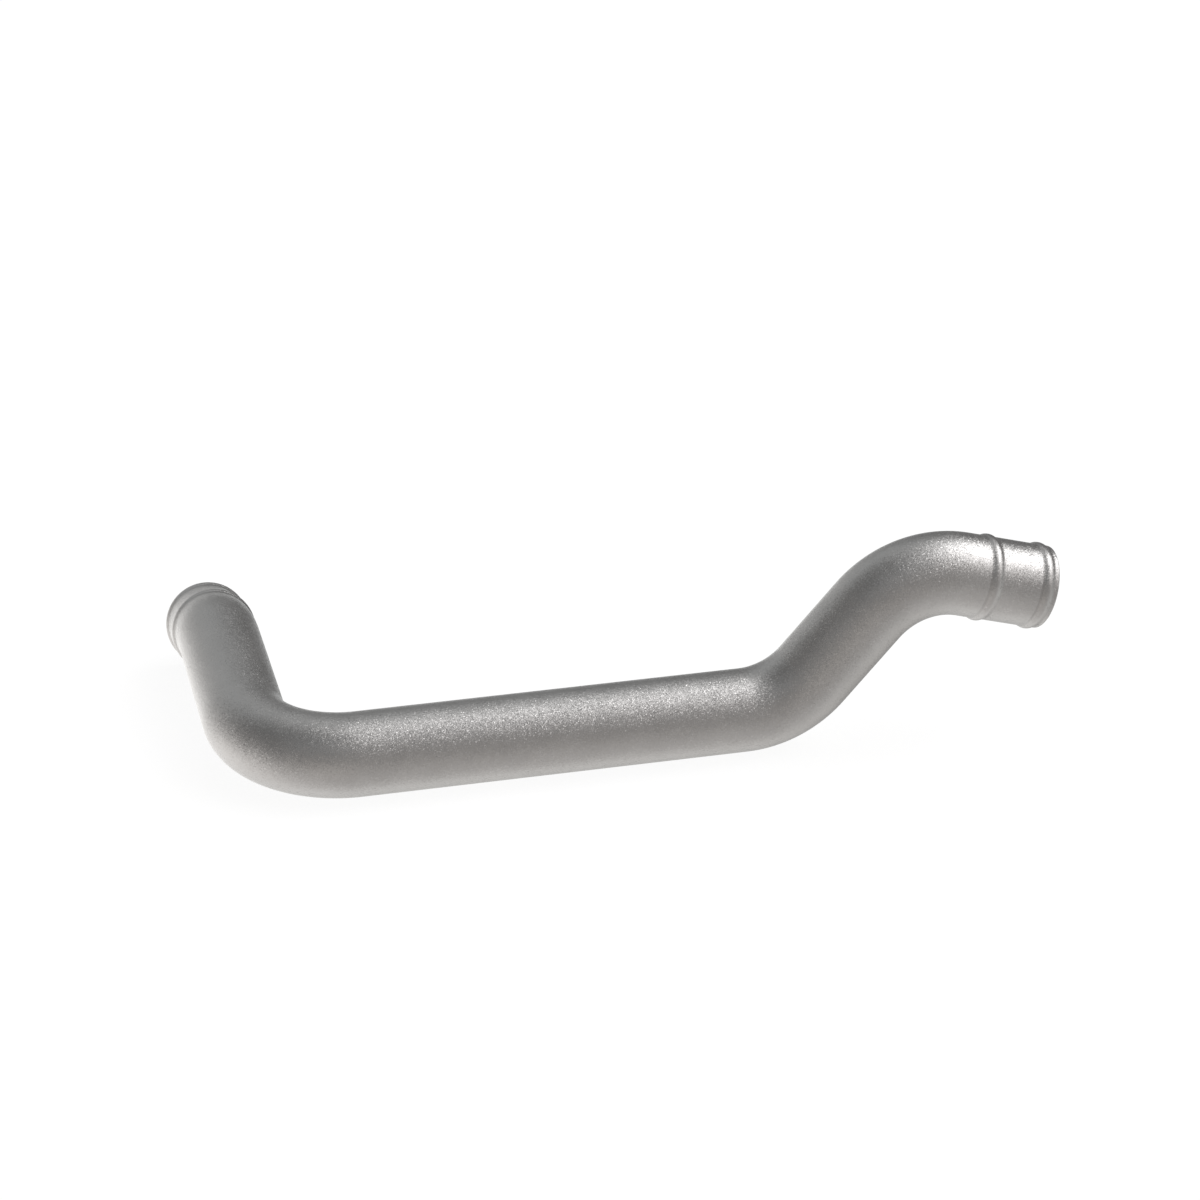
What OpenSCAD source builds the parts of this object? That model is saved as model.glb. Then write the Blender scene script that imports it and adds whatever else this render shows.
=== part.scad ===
// Intercooler pipe: one aluminium tube with four bends and two rolled beads at each mouth.
// It lies as it comes to rest, on the underside of its long run and on the rim of its elbow end.

/* [Tube] */
// Outside diameter of the tube
tube_od = 63.5; // [50:0.5:80]
// Thickness of the tube's wall
wall = 2; // [1.6:0.1:3]
// Radius of all four bends, at the middle of the tube
bend_r = 73.5; // [70:0.5:150]

/* [Straights] */
// Beaded straight at the elbow end, from the bend to the mouth
elbow_stub = 65; // [60:0.5:120]
// Leg between the elbow and the kick before the elbow end
leg = 121; // [20:0.5:250]
// Long run between the elbow and the offset
run = 295; // [100:0.5:600]
// Straight between the two bends of the offset
riser = 64; // [5:0.5:200]
// Beaded straight at the offset end, from the bend to the mouth
offset_stub = 66.5; // [60:0.5:120]

/* [Bends] */
// Kick that turns the elbow end down, in degrees
kick_angle = 19.5; // [5:0.5:30]
// Elbow between the run and the leg, in degrees
elbow_angle = 90; // [60:0.5:100]
// Bend that lifts the offset off the run, in degrees
rise_angle = 48; // [10:0.5:80]
// Bend that brings the offset back over, in degrees
return_angle = 63.5; // [10:0.5:75]
// Turn about the run from the plane of the offset to the plane of the elbow, in degrees
plane_turn = 86.5; // [70:0.5:110]

/* [Beads and mouths] */
// Height of a bead above the tube
bead_height = 1.6; // [0.8:0.1:2.5]
// Width of a bead along the tube, with the hollows at its foot
bead_width = 12.5; // [10:0.1:14]
// Distance from the mouth to the middle of the outer bead
outer_bead = 8.5; // [8.5:0.1:14]
// Distance from the mouth to the middle of the inner bead
inner_bead = 51; // [30:0.5:52]
// Rounding of the mouth's outer edge
rim_round = 1; // [0.3:0.1:1]
// Rounding of the mouth's inner edge
bore_round = 0.4; // [0.1:0.1:0.5]

/* [Hidden] */
$fn = 96;

// Bending draws the wall a hair thinner on both faces than it is in the straights
bend_draw = 0.05;
// Length over which the end of a straight tapers down past the wall of the bend that it meets
taper = 1;
// How far each end of a bend runs on inside the wall of the straight
bend_lap = 1.2;
// Turn of a straight about its own axis, which keeps the start of its facets off that of the bends
seam_turn = 45;
// Points on a quarter of a bead and on the rounding of a mouth's edge
arc_steps = 7;
// Halvings in the search for the turn that lays the pipe down
settle_steps = 30;
// Places along each bend where the pipe's reach is measured
reach_steps = 8;

tube_r = tube_od / 2;
bore_r = tube_r - wall;
bead_half = bead_width / 2;
// A bead's crest and the hollows at its foot are arcs of one radius that meet at this slope
bead_slope = 2 * atan(bead_height / bead_half);
bead_arc_r = bead_half / (2 * sin(bead_slope));

// Frames along the tube are 4 by 4 matrices: the tube runs along z and bends towards x
function along(d) = [[1, 0, 0, 0], [0, 1, 0, 0], [0, 0, 1, d], [0, 0, 0, 1]];
function about(a) = [[cos(a), -sin(a), 0, 0], [sin(a), cos(a), 0, 0], [0, 0, 1, 0], [0, 0, 0, 1]];
function bent(a) = [
    [cos(a), 0, sin(a), bend_r * (1 - cos(a))],
    [0, 1, 0, 0],
    [-sin(a), 0, cos(a), bend_r * sin(a)],
    [0, 0, 0, 1]
];

// Each side of the run, from the run outwards: plane of the bend, its angle, the straight after it
function elbow_side(turn) = [[turn, elbow_angle, leg], [90, kick_angle, elbow_stub]];
function offset_side(turn) = [[turn, rise_angle, riser], [180, return_angle, offset_stub]];

// Frame where row i of a side starts, and the frame at its mouth when i is the number of rows
function start_of(rows, i) = i == 0
    ? along(0)
    : start_of(rows, i - 1) * about(rows[i - 1][0]) * bent(rows[i - 1][1]) * along(rows[i - 1][2]);

// Rounded rings at a mouth that can touch the floor or set the pipe's reach:
// distance back, radius of the ring, radius of its rounding
rim_rings = [
    [rim_round, tube_r - rim_round, rim_round],
    [outer_bead, tube_r + bead_height - bead_arc_r, bead_arc_r],
    [inner_bead, tube_r + bead_height - bead_arc_r, bead_arc_r]
];

// A ring across frame m, of radius r and rounded by c, reaches this far along axis k
function reach(m, k, r, c) = r * sqrt(max(0, 1 - m[k][2] * m[k][2])) + c;

// Lowest point of the elbow end above the run's centreline, when its plane is turned this far from upright
function elbow_low(turn) = min([
    for (c = rim_rings)
        let (m = start_of(elbow_side(turn), 2) * along(-c[0])) m[0][3] - reach(m, 0, c[1], c[2])
]);

// Turns the elbow end down until it meets the floor that the run lies on
function settle(up, down, steps) = let (mid = (up + down) / 2)
    steps == 0 ? mid
    : elbow_low(mid) > -tube_r ? settle(mid, down, steps - 1)
    : settle(up, mid, steps - 1);

elbow_turn = settle(45, 120, settle_steps);
offset_turn = plane_turn - elbow_turn;

// The two sides leave the run's ends, both with x up: the offset towards +X, the elbow towards -X
offset_base = [[0, 0, 1, run / 2], [0, -1, 0, 0], [1, 0, 0, tube_r], [0, 0, 0, 1]];
elbow_base = [[0, 0, -1, -run / 2], [0, 1, 0, 0], [1, 0, 0, tube_r], [0, 0, 0, 1]];

// Rings that bound the pipe: along the bends of a side, and at its mouth
function bounds_of(base, rows) = concat(
    [
        for (i = [0:1], t = [0:reach_steps])
            [base * start_of(rows, i) * about(rows[i][0]) * bent(rows[i][1] * t / reach_steps), tube_r, 0]
    ],
    [for (c = rim_rings) [base * start_of(rows, 2) * along(-c[0]), c[1], c[2]]]
);
bounds = concat(
    bounds_of(elbow_base, elbow_side(elbow_turn)),
    bounds_of(offset_base, offset_side(offset_turn))
);
// Middle of the pipe's reach along axis k, which goes over the origin
function middle(k) = (
    max([for (b = bounds) b[0][k][3] + reach(b[0], k, b[1], b[2])])
    + min([for (b = bounds) b[0][k][3] - reach(b[0], k, b[1], b[2])])
) / 2;

// Points on one face of a bead at height z: off is 0 for the outer face, and less the wall for the inner
function bead_points(z, off) = concat(
    [
        for (i = [0:arc_steps]) let (t = bead_slope * i / arc_steps)
            [tube_r + bead_arc_r - (bead_arc_r - off) * cos(t), z - bead_half + (bead_arc_r - off) * sin(t)]
    ],
    [
        for (i = [1:2 * arc_steps]) let (t = bead_slope * (i / arc_steps - 1))
            [tube_r + bead_height - bead_arc_r + (bead_arc_r + off) * cos(t), z + (bead_arc_r + off) * sin(t)]
    ],
    [
        for (i = [arc_steps - 1:-1:0]) let (t = bead_slope * i / arc_steps)
            [tube_r + bead_arc_r - (bead_arc_r - off) * cos(t), z + bead_half - (bead_arc_r - off) * sin(t)]
    ]
);
// Points on a rounded corner at radius r and height z, for the given radius of the rounding
function corner_points(r, z, round, from, to) = [
    for (i = [0:arc_steps]) let (t = from + (to - from) * i / arc_steps)
        [r + round * cos(t), z + round * sin(t)]
];
function turned_round(points) = [for (i = [len(points) - 1:-1:0]) points[i]];

// Points on the end of a straight's wall at height z, which tapers towards the bend behind it
function taper_points(z, dir) = [
    [tube_r, z + dir * taper],
    [tube_r - 2 * bend_draw, z],
    [bore_r + 2 * bend_draw, z],
    [bore_r, z + dir * taper]
];

// Section of the wall of a plain straight between two bends
module straight_section(length) {
    polygon(concat(taper_points(length, -1), turned_round(taper_points(0, 1))));
}

// Section of the wall of a beaded straight, from the bend at 0 to the mouth at length
module stub_section(length) {
    polygon(concat(
        turned_round(taper_points(0, 1)),
        bead_points(length - inner_bead, 0),
        bead_points(length - outer_bead, 0),
        corner_points(tube_r - rim_round, length - rim_round, rim_round, 0, 90),
        corner_points(bore_r + bore_round, length - bore_round, bore_round, 90, 180),
        turned_round(bead_points(length - outer_bead, -wall)),
        turned_round(bead_points(length - inner_bead, -wall))
    ));
}

module ring(outer_r, inner_r) {
    difference() {
        circle(r = outer_r);
        circle(r = inner_r);
    }
}

module straight(length) {
    rotate([0, 0, seam_turn]) rotate_extrude() straight_section(length);
}

module stub(length) {
    rotate([0, 0, seam_turn]) rotate_extrude() stub_section(length);
}

module bend(angle) {
    lap = bend_lap / bend_r * 180 / PI;
    translate([bend_r, 0, 0])
        rotate([90, 0, 180])
            rotate([0, 0, -lap])
                rotate_extrude(angle = angle + 2 * lap)
                    translate([bend_r, 0]) ring(tube_r - bend_draw, bore_r + bend_draw);
}

// One side of the run: two bends, the straight between them and the beaded end
module side(rows) {
    for (i = [0:1])
        multmatrix(start_of(rows, i) * about(rows[i][0])) {
            bend(rows[i][1]);
            multmatrix(bent(rows[i][1])) {
                if (i == 0) straight(rows[i][2]);
                if (i == 1) stub(rows[i][2]);
            }
        }
}

module pipe() {
    color("silver")
        translate([-middle(0), -middle(1), 0]) {
            multmatrix(offset_base) side(offset_side(offset_turn));
            multmatrix(elbow_base) side(elbow_side(elbow_turn));
            translate([-run / 2, 0, tube_r]) rotate([0, 90, 0]) straight(run);
        }
}

pipe();
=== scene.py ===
import math

import bpy
import numpy as np
from mathutils import Matrix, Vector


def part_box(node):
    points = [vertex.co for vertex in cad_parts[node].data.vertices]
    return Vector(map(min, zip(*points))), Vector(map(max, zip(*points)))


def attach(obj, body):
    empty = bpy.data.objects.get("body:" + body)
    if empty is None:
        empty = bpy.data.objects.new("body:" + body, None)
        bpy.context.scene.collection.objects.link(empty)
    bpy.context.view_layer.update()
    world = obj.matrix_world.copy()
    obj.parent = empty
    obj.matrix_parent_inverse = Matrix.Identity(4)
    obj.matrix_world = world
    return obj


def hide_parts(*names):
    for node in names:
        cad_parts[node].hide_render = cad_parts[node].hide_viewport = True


# Intercooler pipe: bead-blasted aluminium tube with hose beads rolled in at both ends. Metres, +Z up.

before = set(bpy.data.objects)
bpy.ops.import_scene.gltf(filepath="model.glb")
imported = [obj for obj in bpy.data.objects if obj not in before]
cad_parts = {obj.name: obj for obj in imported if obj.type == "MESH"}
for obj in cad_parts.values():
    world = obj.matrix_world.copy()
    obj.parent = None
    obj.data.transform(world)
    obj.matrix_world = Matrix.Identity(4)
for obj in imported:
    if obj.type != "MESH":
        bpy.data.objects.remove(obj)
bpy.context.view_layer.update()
print("frame loaded:", sorted(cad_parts))


# Pipe

pipe = {
    "tubeRadius": 0.03175,
    "wall": 0.002,
    "bendRadius": 0.0735,
    # from the elbow end's mouth on: straight, turn to the plane of the next bend, angle of that bend
    "bendTable": [
        (0.065, -174.9675, 19.5),
        (0.121, 90.0, 90.0),
        (0.295, 86.5, 48.0),
        (0.064, 180.0, 63.5),
        (0.0665, 0.0, 0.0),
    ],
    "runRow": 2,                 # its straight lies level, along +X, and a turn of 0 there is upright
    "beadHeight": 0.0016,
    "beadHalfWidth": 0.00625,
    "beadsFromMouth": (0.0085, 0.051),
    "rimRound": 0.001,
    "boreRound": 0.0004,
    "pointsAround": 144,
    "bendStep": 0.0032,          # between rings on a bend, at the middle of the tube
    "straightStep": 0.016,
    "arcSteps": 8,               # points over a quarter of a bead and over a rounded edge
}


def turned(degrees):
    return np.array(Matrix.Rotation(math.radians(degrees), 4, "Z"))


def arcFrames(lengths, curvatures):
    # arc of curvature k towards x: place ((1 - cos ks)/k, 0, sin(ks)/k), turned by ks about y
    angles = lengths * curvatures
    safe = np.where(curvatures == 0, 1.0, curvatures)
    frames = np.tile(np.eye(4), (len(lengths), 1, 1))
    frames[:, 0, 0] = frames[:, 2, 2] = np.cos(angles)
    frames[:, 0, 2], frames[:, 2, 0] = np.sin(angles), -np.sin(angles)
    frames[:, 0, 3] = (1 - np.cos(angles)) / safe
    frames[:, 2, 3] = np.where(curvatures == 0, lengths, np.sin(angles) / safe)
    return frames


def bentPath(p):
    # the centreline as pieces of constant curvature, with the run laid level at the tube's radius
    pieces, here, plane, gone = [], np.eye(4), 0.0, 0.0
    for row, (straight, turn, degrees) in enumerate(p["bendTable"]):
        if row == p["runRow"]:
            level = np.array([[0, 0, 1, 0], [0, -1, 0, 0], [1, 0, 0, p["tubeRadius"]], [0, 0, 0, 1.0]])
            placing = level @ np.linalg.inv(here)
        bend = p["bendRadius"] * math.radians(degrees)
        for length, curvature, twist in ((straight, 0.0, 0.0), (bend, 1 / p["bendRadius"], turn)):
            plane += twist
            pieces.append((here @ turned(plane), turned(-plane), curvature, gone, length))
            step = arcFrames(np.array([length]), np.array([curvature]))[0]
            here = here @ turned(plane) @ step @ turned(-plane)
            gone += length
    pieces = [piece for piece in pieces if piece[4] > 0]
    starts, backs, curvatures, distances, lengths = (np.array(column) for column in zip(*pieces))
    return placing @ starts, backs, curvatures, distances, lengths


def pathFrames(path, at):
    # frame of the piece each distance falls in, along its arc, then turned back so that nothing twists
    starts, backs, curvatures, distances, lengths = path
    piece = np.clip(np.searchsorted(distances, at, side="right") - 1, 0, None)
    return starts[piece] @ arcFrames(at - distances[piece], curvatures[piece]) @ backs[piece]


def beadOutline(p, inset):
    # foot, crest and foot as arcs of one radius a that meet at slope t; the inset is the wall for the bore:
    # crest r = h - a + (a - inset) cos t, x = (a - inset) sin t; foot r = a - (a + inset) cos t
    slope = 2 * math.atan(p["beadHeight"] / p["beadHalfWidth"])
    arc = p["beadHalfWidth"] / (2 * math.sin(slope))
    t = np.linspace(0, slope, p["arcSteps"])
    crest = np.linspace(-slope, slope, 2 * p["arcSteps"])[1:-1]
    footX, footR = p["beadHalfWidth"] - (arc + inset) * np.sin(t), arc - (arc + inset) * np.cos(t)
    x = np.concatenate([-footX, (arc - inset) * np.sin(crest), footX[::-1]])
    r = np.concatenate([footR, p["beadHeight"] - arc + (arc - inset) * np.cos(crest), footR[::-1]])
    return x, r, np.concatenate([t, -crest, -t[::-1]])


def endOutline(p, inset, rounding):
    # (distance from the mouth, height over the tube's outer face, slope), from the mouth past both beads;
    # a rounded edge is a quarter circle: distance = c(1 - sin t), height = -inset -+ c(1 - cos t)
    t = np.linspace(math.pi / 2, 0, p["arcSteps"])
    side = 1 if inset else -1
    parts = [(rounding * (1 - np.sin(t)), side * rounding * (1 - np.cos(t)) - inset, -side * t)]
    for middle in p["beadsFromMouth"]:
        x, r, slopes = beadOutline(p, inset)
        parts.append((middle + x, r, slopes))
    return (np.concatenate(column) for column in zip(*parts))


def faceOutline(p, path, inset, rounding):
    # one face of the wall from the elbow end's mouth to the offset end's: end, plain rings, end
    starts, backs, curvatures, distances, lengths = path
    total = distances[-1] + lengths[-1]
    near, height, slope = endOutline(p, inset, rounding)
    steps = np.where(curvatures == 0, p["straightStep"], p["bendStep"])
    rings = np.concatenate([
        first + length * np.arange(count) / count
        for first, length, count in zip(distances, lengths, np.ceil(lengths / steps).astype(int))
    ])
    clear = p["beadsFromMouth"][-1] + p["beadHalfWidth"] + 0.002
    rings = rings[(rings > clear) & (rings < total - clear)]
    flat = np.zeros(len(rings))
    return (
        np.concatenate([near, rings, total - near[::-1]]),
        np.concatenate([height, flat - inset, height[::-1]]),
        np.concatenate([slope, flat, -slope[::-1]]),
    )


def skinSurface(p):
    # swept skin P(s, u) = C(s) + (R + h(s)) (cos u X + sin u Y): out along the outer face, back along the bore
    path = bentPath(p)
    outer = faceOutline(p, path, 0.0, p["rimRound"])
    bore = faceOutline(p, path, p["wall"], p["boreRound"])
    along, height, slope = (np.concatenate([a, b[::-1]]) for a, b in zip(outer, bore))
    facing = np.concatenate([np.ones(len(outer[0])), -np.ones(len(bore[0]))])[:, None, None]
    rings, around = len(along), p["pointsAround"]
    u = np.arange(around) * 2 * math.pi / around
    frames = pathFrames(path, along)
    axisX, axisY, tangent, centre = (frames[:, None, :3, column] for column in range(4))
    radial = axisX * np.cos(u)[:, None] + axisY * np.sin(u)[:, None]
    points = centre + (p["tubeRadius"] + height)[:, None, None] * radial
    # the normal of a sloped outline is radial cos(slope) - tangent sin(slope), and the bore's is turned over
    slope = slope[:, None, None]
    normals = facing * (radial * np.cos(slope) - tangent * np.sin(slope))
    ring, step = np.meshgrid(np.arange(rings), np.arange(around), indexing="ij")
    nextRing, nextStep = (ring + 1) % rings, (step + 1) % around
    corners = [(ring, step), (ring, nextStep), (nextRing, nextStep), (nextRing, step)]
    quads = np.stack([r * around + c for r, c in corners], -1)
    # developed wall: metres along the tube, metres around it
    unrolled = np.stack([along[np.stack([r for r, c in corners], -1)],
                         np.stack([step, step + 1, step + 1, step], -1) * (u[1] * p["tubeRadius"])], -1)
    relief = np.repeat(height / p["beadHeight"], around)
    return points.reshape(-1, 3), normals.reshape(-1, 3), quads.reshape(-1, 4), unrolled.reshape(-1, 2), relief


def addPiece(name, points, quads, normals):
    mesh = bpy.data.meshes.new(name)
    mesh.vertices.add(len(points))
    mesh.vertices.foreach_set("co", points.astype(np.float32).ravel())
    mesh.loops.add(quads.size)
    mesh.loops.foreach_set("vertex_index", quads.astype(np.int32).ravel())
    mesh.polygons.add(len(quads))
    mesh.polygons.foreach_set("loop_start", np.arange(0, quads.size, 4, dtype=np.int32))
    mesh.polygons.foreach_set("use_smooth", np.ones(len(quads), dtype=bool))
    mesh.update(calc_edges=True)
    mesh.normals_split_custom_set_from_vertices(normals.tolist())
    piece = bpy.data.objects.new(name, mesh)
    bpy.context.scene.collection.objects.link(piece)
    return piece


def addPipe(p):
    points, normals, quads, unrolled, relief = skinSurface(p)
    # set into the box of the CAD node, which is within a few hundredths of a millimetre of the skin's own
    lowest, highest = (np.array(corner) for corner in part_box("pipe"))
    own = points.min(0), points.max(0)
    print("skin's size against the CAD node's:", (own[1] - own[0]).round(5), (highest - lowest).round(5))
    points = lowest + (points - own[0]) * (highest - lowest) / (own[1] - own[0])
    piece = addPiece("pipeSkin", points, quads, normals)
    piece.data.uv_layers.new(name="unrolled").data.foreach_set("uv", unrolled.astype(np.float32).ravel())
    # height over the tube in bead heights: 1 on a crest, 0 on the tube, well below 0 in the bore
    piece.data.attributes.new("relief", "FLOAT", "POINT").data.foreach_set("value", relief.astype(np.float32))
    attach(piece, "root")
    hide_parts("pipe")
    return piece


# Material

aluminium = {
    "color": (0.5, 0.497, 0.49),
    "roughness": 0.315,
    "boreRoughness": 0.3,
    "crestRoughness": 0.3,
    "grain": 0.0007,             # metres between the dents that blasting leaves
    "dentDepth": 0.00008,
    "facet": 0.0006,             # metres across a facet, which glints as one
    "facetLean": 0.5,
    "mottle": 0.022,             # metres across a patch of slightly different sheen
    "drawnLine": 0.0011,         # metres between the lines that drawing leaves in the bore
}


def newTree(name, inputs, outputs):
    group = bpy.data.node_groups.new(name, "ShaderNodeTree")
    for words, way in ((inputs, "INPUT"), (outputs, "OUTPUT")):
        for socket, kind in words:
            group.interface.new_socket(socket, in_out=way, socket_type="NodeSocket" + kind)
    return group, group.nodes.new("NodeGroupInput"), group.nodes.new("NodeGroupOutput")


def addNode(tree, kind, inputs=(), **settings):
    # inputs are (socket, value or the output socket it comes from)
    node = tree.nodes.new("ShaderNode" + kind)
    for name, value in settings.items():
        setattr(node, name, value)
    for socket, value in inputs:
        if isinstance(value, bpy.types.NodeSocket):
            tree.links.new(value, node.inputs[socket])
        else:
            node.inputs[socket].default_value = value
    return node


def mathNode(tree, operation, *values):
    return addNode(tree, "Math", list(enumerate(values)), operation=operation).outputs[0]


def rangeNode(tree, value, low, high, toLow, toHigh):
    inputs = [("Value", value), ("From Min", low), ("From Max", high), ("To Min", toLow), ("To Max", toHigh)]
    return addNode(tree, "MapRange", inputs, interpolation_type="SMOOTHSTEP").outputs["Result"]


def blastedGrain(a):
    # dents left by blasting, as height
    group, given, result = newTree("blastedGrain", [("Vector", "Vector")], [("Height", "Float")])
    dents = addNode(group, "TexNoise", [
        ("Vector", given.outputs["Vector"]), ("Scale", 1 / a["grain"]), ("Detail", 1.0), ("Roughness", 0.5)
    ]).outputs["Fac"]
    group.links.new(dents, result.inputs["Height"])
    return group


def facetNormals(a):
    # each facet leans its own way by its own share of the full lean:
    # unit vector along normal + lean * random share * (random color of the facet's cell - 1/2)
    group, given, result = newTree(
        "facetNormals",
        [("Vector", "Vector"), ("Normal", "Vector"), ("Lean", "Float")],
        [("Normal", "Vector")],
    )
    cells = addNode(group, "TexVoronoi", [("Vector", given.outputs["Vector"]), ("Scale", 1 / a["facet"])])
    way = addNode(group, "VectorMath", [(0, cells.outputs["Color"]), (1, (0.5, 0.5, 0.5))], operation="SUBTRACT")
    share = addNode(group, "TexWhiteNoise", [("Vector", cells.outputs["Color"])]).outputs["Value"]
    lean = mathNode(group, "MULTIPLY", share, given.outputs["Lean"])
    aside = addNode(group, "VectorMath", [("Vector", way.outputs[0]), ("Scale", lean)], operation="SCALE")
    leaning = addNode(group, "VectorMath", [(0, given.outputs["Normal"]), (1, aside.outputs[0])], operation="ADD")
    unit = addNode(group, "VectorMath", [(0, leaning.outputs[0])], operation="NORMALIZE")
    group.links.new(unit.outputs[0], result.inputs["Normal"])
    return group


def softPatches(a):
    # slow change of sheen over the wall, from 0 to 1
    group, given, result = newTree("softPatches", [("Vector", "Vector")], [("Patch", "Float")])
    noise = addNode(group, "TexNoise", [
        ("Vector", given.outputs["Vector"]), ("Scale", 1 / a["mottle"]), ("Detail", 3.0), ("Roughness", 0.55)
    ]).outputs["Fac"]
    group.links.new(rangeNode(group, noise, 0.3, 0.7, 0.0, 1.0), result.inputs["Patch"])
    return group


def drawnLines(a):
    # fine lines along the tube, from its developed wall: noise stretched to 300 times its width
    group, given, result = newTree("drawnLines", [("Unrolled", "Vector")], [("Height", "Float")])
    stretched = addNode(group, "Mapping", [
        ("Vector", given.outputs["Unrolled"]), ("Scale", (1 / (300 * a["drawnLine"]), 1 / a["drawnLine"], 1.0))
    ]).outputs["Vector"]
    lines = addNode(group, "TexNoise", [
        ("Vector", stretched), ("Scale", 1.0), ("Detail", 2.0), ("Roughness", 0.5)
    ]).outputs["Fac"]
    group.links.new(lines, result.inputs["Height"])
    return group


def aluminiumMaterial(a):
    material = bpy.data.materials.new("blastedAluminium")
    material.use_nodes = True
    tree = material.node_tree
    tree.nodes.clear()
    place = addNode(tree, "TexCoord").outputs["Object"]
    unrolled = addNode(tree, "UVMap", uv_map="unrolled").outputs["UV"]
    relief = addNode(tree, "Attribute", attribute_name="relief").outputs["Fac"]
    grain = addNode(tree, "Group", node_tree=blastedGrain(a))
    patches = addNode(tree, "Group", node_tree=softPatches(a))
    lines = addNode(tree, "Group", node_tree=drawnLines(a))
    for node, vector in ((grain, place), (patches, place), (lines, unrolled)):
        tree.links.new(vector, node.inputs[0])

    crest = rangeNode(tree, relief, 0.7, 1.0, 0.0, 1.0)
    # painted shade: the colour is darkened in the hollow at the foot of a bead, where shade falls
    foot = mathNode(tree, "MULTIPLY", rangeNode(tree, relief, 0.0, 0.05, 0.0, 1.0),
                    rangeNode(tree, relief, 0.12, 0.45, 1.0, 0.0))
    bore = rangeNode(tree, relief, -1.2, -0.4, 1.0, 0.0)
    # the corner of the rim is rubbed bright by the hoses that go over it
    rim = mathNode(tree, "MULTIPLY", rangeNode(tree, relief, -0.75, -0.3, 0.0, 1.0),
                   rangeNode(tree, relief, -0.3, -0.02, 1.0, 0.0))

    patch = patches.outputs["Patch"]
    rough = mathNode(tree, "ADD", a["roughness"] - 0.015, mathNode(tree, "MULTIPLY", patch, 0.03))
    worn = mathNode(tree, "MULTIPLY", mathNode(tree, "MAXIMUM", crest, rim), a["roughness"] - a["crestRoughness"])
    rough = mathNode(tree, "SUBTRACT", rough, worn)
    rough = mathNode(tree, "SUBTRACT", rough, mathNode(tree, "MULTIPLY", bore, a["roughness"] - a["boreRoughness"]))

    toneAndShade = rangeNode(tree, patch, 0.0, 1.0, 0.975, 1.02)
    # painted shade at the feet of the beads: the colour falls to 0.88 of itself there
    toneAndShade = mathNode(tree, "MULTIPLY", toneAndShade, rangeNode(tree, foot, 0.0, 1.0, 1.0, 0.88))
    color = addNode(tree, "VectorMath", [("Vector", a["color"]), ("Scale", toneAndShade)], operation="SCALE").outputs[0]

    # dents and facets are shallower where the wall is worn, and the bore has drawn lines in their place
    blasted = mathNode(tree, "SUBTRACT", 1.0, mathNode(tree, "MULTIPLY", crest, 0.3))
    height = addNode(tree, "Mix", [
        ("Factor", bore), (2, mathNode(tree, "MULTIPLY", grain.outputs["Height"], blasted)),
        (3, mathNode(tree, "MULTIPLY", lines.outputs["Height"], 0.25)),
    ]).outputs[0]
    bump = addNode(tree, "Bump", [("Height", height), ("Distance", a["dentDepth"]), ("Strength", 1.0)])
    skinned = mathNode(tree, "SUBTRACT", 1.0, bore)
    facets = addNode(tree, "Group", [
        ("Vector", place), ("Normal", bump.outputs["Normal"]),
        ("Lean", mathNode(tree, "MULTIPLY", mathNode(tree, "MULTIPLY", blasted, skinned), a["facetLean"])),
    ], node_tree=facetNormals(a))
    shader = addNode(tree, "BsdfPrincipled", [
        ("Base Color", color), ("Metallic", 1.0), ("Roughness", rough), ("Normal", facets.outputs["Normal"])
    ])
    addNode(tree, "OutputMaterial", [("Surface", shader.outputs["BSDF"])])
    return material


skin = addPipe(pipe)
skin.data.materials.append(aluminiumMaterial(aluminium))
print("pipe skin:", len(skin.data.polygons) * 2, "triangles")


# Studio

studio = {
    "aim": (0.0, 0.0, 0.0797),
    "distance": 2.6533,
    "turn": 13.704,              # degrees of the view from +Y towards +X
    "down": 22.693,              # degrees the view looks down
    "roll": -0.691,
    "fieldOfView": 20.0,
    "floorHalf": 6.0,
    "floorPlain": 0.91,          # white that the camera sees of the floor beside what the lamps light
    "floorShade": 0.161,
    # large soft lamps around the stage: degrees from +X towards +Y, degrees up, sharpness, colour and strength
    "lamps": [
        (112.0, 36.1, 6.3, (0.446, 0.457, 0.462)),
        (238.7, 47.0, 8.0, (0.208, 0.214, 0.22)),
        (323.7, 35.2, 8.0, (0.765, 0.731, 0.721)),
        (270.8, -58.4, 1.2, (0.534, 0.511, 0.502)),
        (166.4, -29.1, 4.2, (0.818, 0.787, 0.767)),
        (251.1, -15.6, 8.0, (0.213, 0.197, 0.179)),
        (336.1, -25.0, 8.0, (0.358, 0.367, 0.363)),
        (126.0, -22.7, 8.0, (0.665, 0.655, 0.644)),
        (8.6, -53.9, 8.0, (0.257, 0.249, 0.238)),
        (93.6, -74.1, 8.0, (0.525, 0.528, 0.52)),
        (352.5, 47.4, 14.0, (1.9, 1.86, 1.88)),
        (16.2, 62.4, 8.0, (0.922, 0.917, 0.917)),
        (76.0, -22.0, 20.0, (0.47, 0.491, 0.493)),
        (95.0, -22.0, 20.0, (0.949, 0.941, 0.928)),
        (15.0, 48.0, 60.0, (3.0, 3.0, 3.0)),
    ],
}


def addCamera(s):
    camera = bpy.data.objects.new("camera", bpy.data.cameras.new("camera"))
    bpy.context.scene.collection.objects.link(camera)
    camera.data.sensor_width = 36.0
    camera.data.lens = 18.0 / math.tan(math.radians(s["fieldOfView"] / 2))
    turn = Matrix.Rotation(math.radians(-s["turn"]), 4, "Z")
    tilt = Matrix.Rotation(math.radians(90 - s["down"]), 4, "X")
    roll = Matrix.Rotation(math.radians(s["roll"]), 4, "Z")
    back = Matrix.Translation((0, 0, s["distance"]))
    camera.matrix_world = Matrix.Translation(s["aim"]) @ turn @ tilt @ roll @ back
    bpy.context.scene.camera = camera
    return camera


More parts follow.
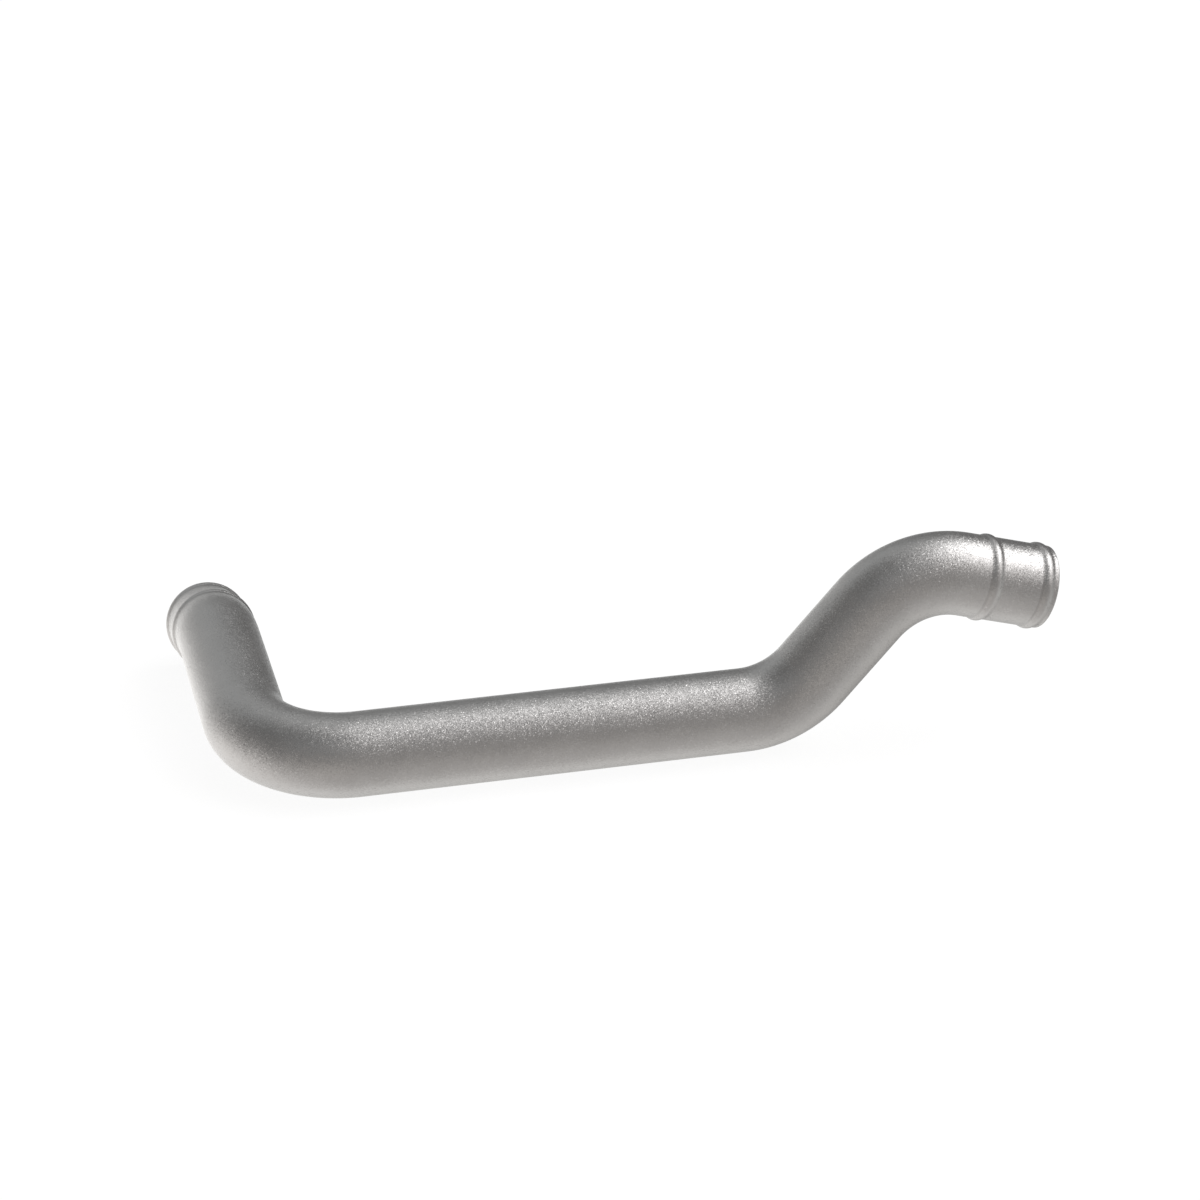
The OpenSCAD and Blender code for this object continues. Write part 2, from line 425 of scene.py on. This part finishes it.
def addFloor(s):
    # the camera sees a white floor with the pipe's faint shadow, and the lamps under it light the pipe
    half = s["floorHalf"]
    corners = np.array([[-half, -half, 0], [half, -half, 0], [half, half, 0], [-half, half, 0]])
    floor = addPiece("floor", corners, np.array([[0, 1, 2, 3]]), np.tile([0, 0, 1.0], (4, 1)))
    material = bpy.data.materials.new("floor")
    material.use_nodes = True
    tree = material.node_tree
    tree.nodes.clear()
    shade = s["floorShade"]
    lit = addNode(tree, "BsdfDiffuse", [("Color", (shade, shade, shade, 1.0))])
    plain = addNode(tree, "Emission", [("Strength", s["floorPlain"])])
    seen = addNode(tree, "AddShader", [(0, lit.outputs[0]), (1, plain.outputs[0])])
    clear = addNode(tree, "BsdfTransparent")
    camera = addNode(tree, "LightPath").outputs["Is Camera Ray"]
    mix = addNode(tree, "MixShader", [(0, camera), (1, clear.outputs[0]), (2, seen.outputs[0])])
    addNode(tree, "OutputMaterial", [("Surface", mix.outputs[0])])
    floor.data.materials.append(material)


def softLamp():
    # light of one lamp towards a direction: colour times exp(sharpness (cosine of the angle to its axis - 1))
    group, given, result = newTree(
        "softLamp",
        [("Direction", "Vector"), ("Axis", "Vector"), ("Sharpness", "Float"), ("Color", "Vector")],
        [("Color", "Vector")],
    )
    cosine = addNode(group, "VectorMath", [(0, given.outputs["Direction"]), (1, given.outputs["Axis"])],
                     operation="DOT_PRODUCT").outputs["Value"]
    fall = mathNode(group, "MULTIPLY", mathNode(group, "SUBTRACT", cosine, 1.0), given.outputs["Sharpness"])
    lit = addNode(group, "VectorMath", [("Vector", given.outputs["Color"]),
                                        ("Scale", mathNode(group, "EXPONENT", fall))], operation="SCALE")
    group.links.new(lit.outputs[0], result.inputs["Color"])
    return group


def addLamps(s):
    world = bpy.data.worlds.new("studio")
    bpy.context.scene.world = world
    world.use_nodes = True
    tree = world.node_tree
    tree.nodes.clear()
    direction = addNode(tree, "TexCoord").outputs["Generated"]
    lamp, total = softLamp(), (0.0, 0.0, 0.0)
    for azimuth, up, sharpness, color in s["lamps"]:
        a, e = math.radians(azimuth), math.radians(up)
        axis = (math.cos(e) * math.cos(a), math.cos(e) * math.sin(a), math.sin(e))
        one = addNode(tree, "Group", node_tree=lamp)
        tree.links.new(direction, one.inputs["Direction"])
        one.inputs["Axis"].default_value = axis
        one.inputs["Sharpness"].default_value = sharpness
        one.inputs["Color"].default_value = color
        total = addNode(tree, "VectorMath", [(0, total), (1, one.outputs["Color"])], operation="ADD").outputs[0]
    lamps = addNode(tree, "Background", [("Color", total)])
    white = addNode(tree, "Background", [("Color", (1.0, 1.0, 1.0, 1.0))])
    camera = addNode(tree, "LightPath").outputs["Is Camera Ray"]
    mix = addNode(tree, "MixShader", [(0, camera), (1, lamps.outputs[0]), (2, white.outputs[0])])
    addNode(tree, "OutputWorld", [("Surface", mix.outputs[0])])


addFloor(studio)
addLamps(studio)
camera = addCamera(studio)
bpy.context.scene.view_settings.view_transform = "Standard"
print("studio and camera placed:", [round(v, 5) for v in camera.matrix_world.translation])
